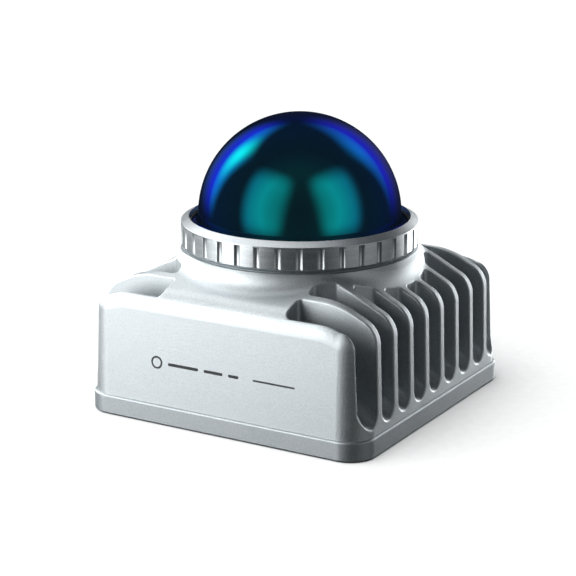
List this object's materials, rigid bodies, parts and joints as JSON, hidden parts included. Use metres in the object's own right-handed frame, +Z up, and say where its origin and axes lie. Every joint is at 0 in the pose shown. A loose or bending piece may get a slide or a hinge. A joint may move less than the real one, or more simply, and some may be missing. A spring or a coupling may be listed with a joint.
{
  "type": "lidar scanner module",
  "caption": "Compact dome lidar scanner with a finned square metal housing, screwed window ring and a spinning mirror head inside.",
  "frame": {"origin": "middle of the base plate's bottom face, on the dome's axis", "axes": "+Z up along the dome's axis, +Y out of the rear connector, plain front face towards -Y, cooling fins on +X and -X"},
  "size_m": [0.065, 0.0744, 0.06],
  "materials": {
    "housing": "fine bead-blasted silver-grey coat on die-cast aluminium",
    "base_plate": "fine bead-blasted silver-grey coat on die-cast aluminium",
    "ring": "turned and bead-blasted, clear anodised",
    "window": "polished infrared-pass plastic with a blue-green interference coating",
    "seal_rubber": "matt black",
    "connector_metal": "turned, nickel plated",
    "connector_plastic": "moulded black",
    "gold_contact": "gold plated",
    "screw_steel": "plain stainless",
    "vent_fabric": "porous white film",
    "circuit_board": "green solder mask",
    "flex_film": "amber film",
    "chip_plastic": "moulded black epoxy",
    "capacitor_can": "drawn can",
    "thermal_rubber": "soft grey-blue pad",
    "black_anodised": "black anodised",
    "lens_glass": "polished",
    "machined_aluminium": "machined",
    "bearing_steel": "ground",
    "core_steel": "laminated or turned, oiled",
    "copper_wire": "enamelled copper wire",
    "magnet": "nickel plated",
    "encoder_steel": "etched",
    "brass": "turned brass",
    "mirror_coating": "diamond turned and coated"
  },
  "bodies": {
    "sensor_body": {"base_plate": "base_plate", "base_screws": "screw_steel", "base_seal": "seal_rubber", "board_screws": "screw_steel", "collimating_lens": "lens_glass", "connector_board": "circuit_board", "connector_flex": "flex_film", "connector_insert": "connector_plastic", "connector_nut": "connector_metal", "connector_pins": "gold_contact", "connector_seal": "seal_rubber", "connector_shell": "connector_metal", "dome_seal": "seal_rubber", "dome_window": "window", "encoder_sensor": "chip_plastic", "housing": "housing", "laser_diode": "capacitor_can", "lens_barrel": "black_anodised", "lower_bearing": "bearing_steel", "main_board": "circuit_board", "main_processor": "chip_plastic", "memory_chips": "chip_plastic", "motor_flex": "flex_film", "motor_mount": "machined_aluminium", "mount_screws": "screw_steel", "network_transformer": "chip_plastic", "photodetector": "lens_glass", "power_capacitors": "capacitor_can", "power_coil_fixed": "copper_wire", "power_inductors": "chip_plastic", "retaining_ring": "ring", "ring_gasket": "seal_rubber", "stator_core": "core_steel", "stator_windings": "copper_wire", "thermal_pad": "thermal_rubber", "upper_bearing": "bearing_steel", "vent_membrane": "vent_fabric"},
    "scan_head": {"hollow_shaft": "bearing_steel", "shaft_clip": "screw_steel", "rotor_hub": "core_steel", "rotor_magnets": "magnet", "power_coil_rotor": "copper_wire", "encoder_disc": "encoder_steel", "head_frame": "machined_aluminium", "head_screws": "screw_steel", "balance_weight": "brass", "head_board": "circuit_board", "head_chips": "chip_plastic", "spindle_bearings": "bearing_steel", "mirror_motor_stator": "copper_wire"},
    "mirror": {"mirror_spindle": "bearing_steel", "polygon_mirror": "mirror_coating", "mirror_motor_rotor": "core_steel"}
  },
  "joints": [
    {"name": "head_spin", "type": "hinge", "parent": "sensor_body", "child": "scan_head", "pos_m": [0, 0, 0.025], "axis": [0, 0, 1], "continuous": true},
    {"name": "mirror_spin", "type": "hinge", "parent": "scan_head", "child": "mirror", "pos_m": [-0.0053, 0, 0.0418], "axis": [0, 1, 0], "continuous": true}
  ]
}
